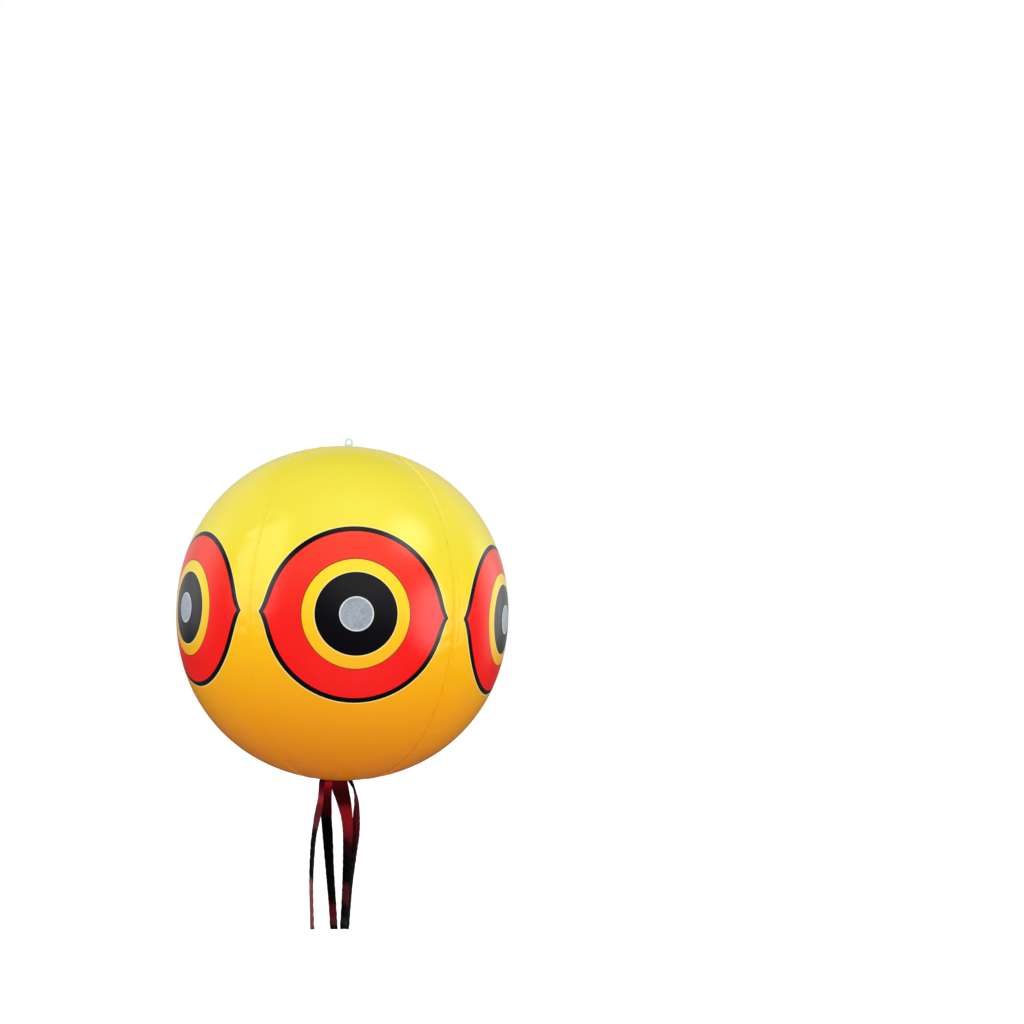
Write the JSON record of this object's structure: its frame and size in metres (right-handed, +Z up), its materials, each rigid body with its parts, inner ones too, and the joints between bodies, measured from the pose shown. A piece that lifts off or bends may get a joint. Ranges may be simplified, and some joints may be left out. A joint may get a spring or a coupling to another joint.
{
  "type": "bird scare balloon",
  "caption": "Inflatable vinyl ball printed with large staring eyes, hung from a clear eyelet tab, with metallised streamers under it, to keep birds off crops.",
  "frame": {"origin": "centre of the eyelet that the balloon hangs by", "axes": "+Z up, along the hanging balloon's own axis; -Y towards the viewer, through the middle of the front eye; +X to the viewer's right"},
  "size_m": [0.3982, 0.4006, 0.614],
  "materials": {
    "printed_film": "glossy PVC film, printed with a red, yellow and black eye",
    "cap_film": "glossy plain PVC film",
    "clear_vinyl": "clear soft PVC sheet",
    "pupil_foil": "grey reflective sticker with a fine grain",
    "valve_vinyl": "milky moulded PVC",
    "streamer_film": "metallised crimson film that reads black where it mirrors a dark place"
  },
  "bodies": {
    "tab": {"hanging_tab": "clear_vinyl"},
    "ball": {"gore_panel_1": "printed_film", "gore_panel_2": "printed_film", "gore_panel_3": "printed_film", "gore_panel_4": "printed_film", "gore_panel_5": "printed_film", "gore_panel_6": "printed_film", "top_cap_disc": "cap_film", "bottom_cap_disc": "cap_film", "tab_foot": "clear_vinyl", "valve_flange": "valve_vinyl", "pupil_sticker_1": "pupil_foil", "pupil_sticker_2": "pupil_foil", "pupil_sticker_3": "pupil_foil", "pupil_sticker_4": "pupil_foil", "pupil_sticker_5": "pupil_foil", "pupil_sticker_6": "pupil_foil", "streamer_strap": "clear_vinyl", "streamer_fold_left": "streamer_film", "streamer_fold_right": "streamer_film"},
    "valve_stem": {"valve_stem": "valve_vinyl"},
    "valve_plug": {"valve_plug": "valve_vinyl"},
    "valve_flap": {"valve_flap": "valve_vinyl"},
    "streamer_1": {"streamer_tail_1": "streamer_film"},
    "streamer_2": {"streamer_tail_2": "streamer_film"},
    "streamer_3": {"streamer_tail_3": "streamer_film"},
    "streamer_4": {"streamer_tail_4": "streamer_film"}
  },
  "joints": [
    {"name": "ball_swing", "type": "hinge", "parent": "tab", "child": "ball", "pos_m": [0, 0, -0.0116], "axis": [1, 0, 0], "range_deg": [-60, 60]},
    {"name": "stem_slide", "type": "slide", "parent": "ball", "child": "valve_stem", "axis": [0, 0.5281, 0.8492], "range_m": [0, 0.0089]},
    {"name": "plug_hinge", "type": "hinge", "parent": "valve_stem", "child": "valve_plug", "pos_m": [0.0108, 0.11127, -0.0426], "axis": [0, 0.8492, -0.5281], "range_deg": [0, 150]},
    {"name": "flap_hinge", "type": "hinge", "parent": "valve_stem", "child": "valve_flap", "pos_m": [-0.0048, 0.10206, -0.05742], "axis": [0, 0.8492, -0.5281], "range_deg": [0, 60], "stiffness_Nm_per_rad": 0.00001, "springref_deg": -28.65},
    {"name": "streamer_swing_1", "type": "hinge", "parent": "ball", "child": "streamer_1", "pos_m": [0, -0.00295, -0.4232], "axis": [1, 0, 0], "range_deg": [-40, 40]},
    {"name": "streamer_swing_2", "type": "hinge", "parent": "ball", "child": "streamer_2", "pos_m": [0, 0.00295, -0.4232], "axis": [1, 0, 0], "range_deg": [-40, 40]},
    {"name": "streamer_swing_3", "type": "hinge", "parent": "ball", "child": "streamer_3", "pos_m": [0, 0.00295, -0.4232], "axis": [1, 0, 0], "range_deg": [-40, 40]},
    {"name": "streamer_swing_4", "type": "hinge", "parent": "ball", "child": "streamer_4", "pos_m": [0, -0.00295, -0.4232], "axis": [1, 0, 0], "range_deg": [-40, 40]}
  ]
}
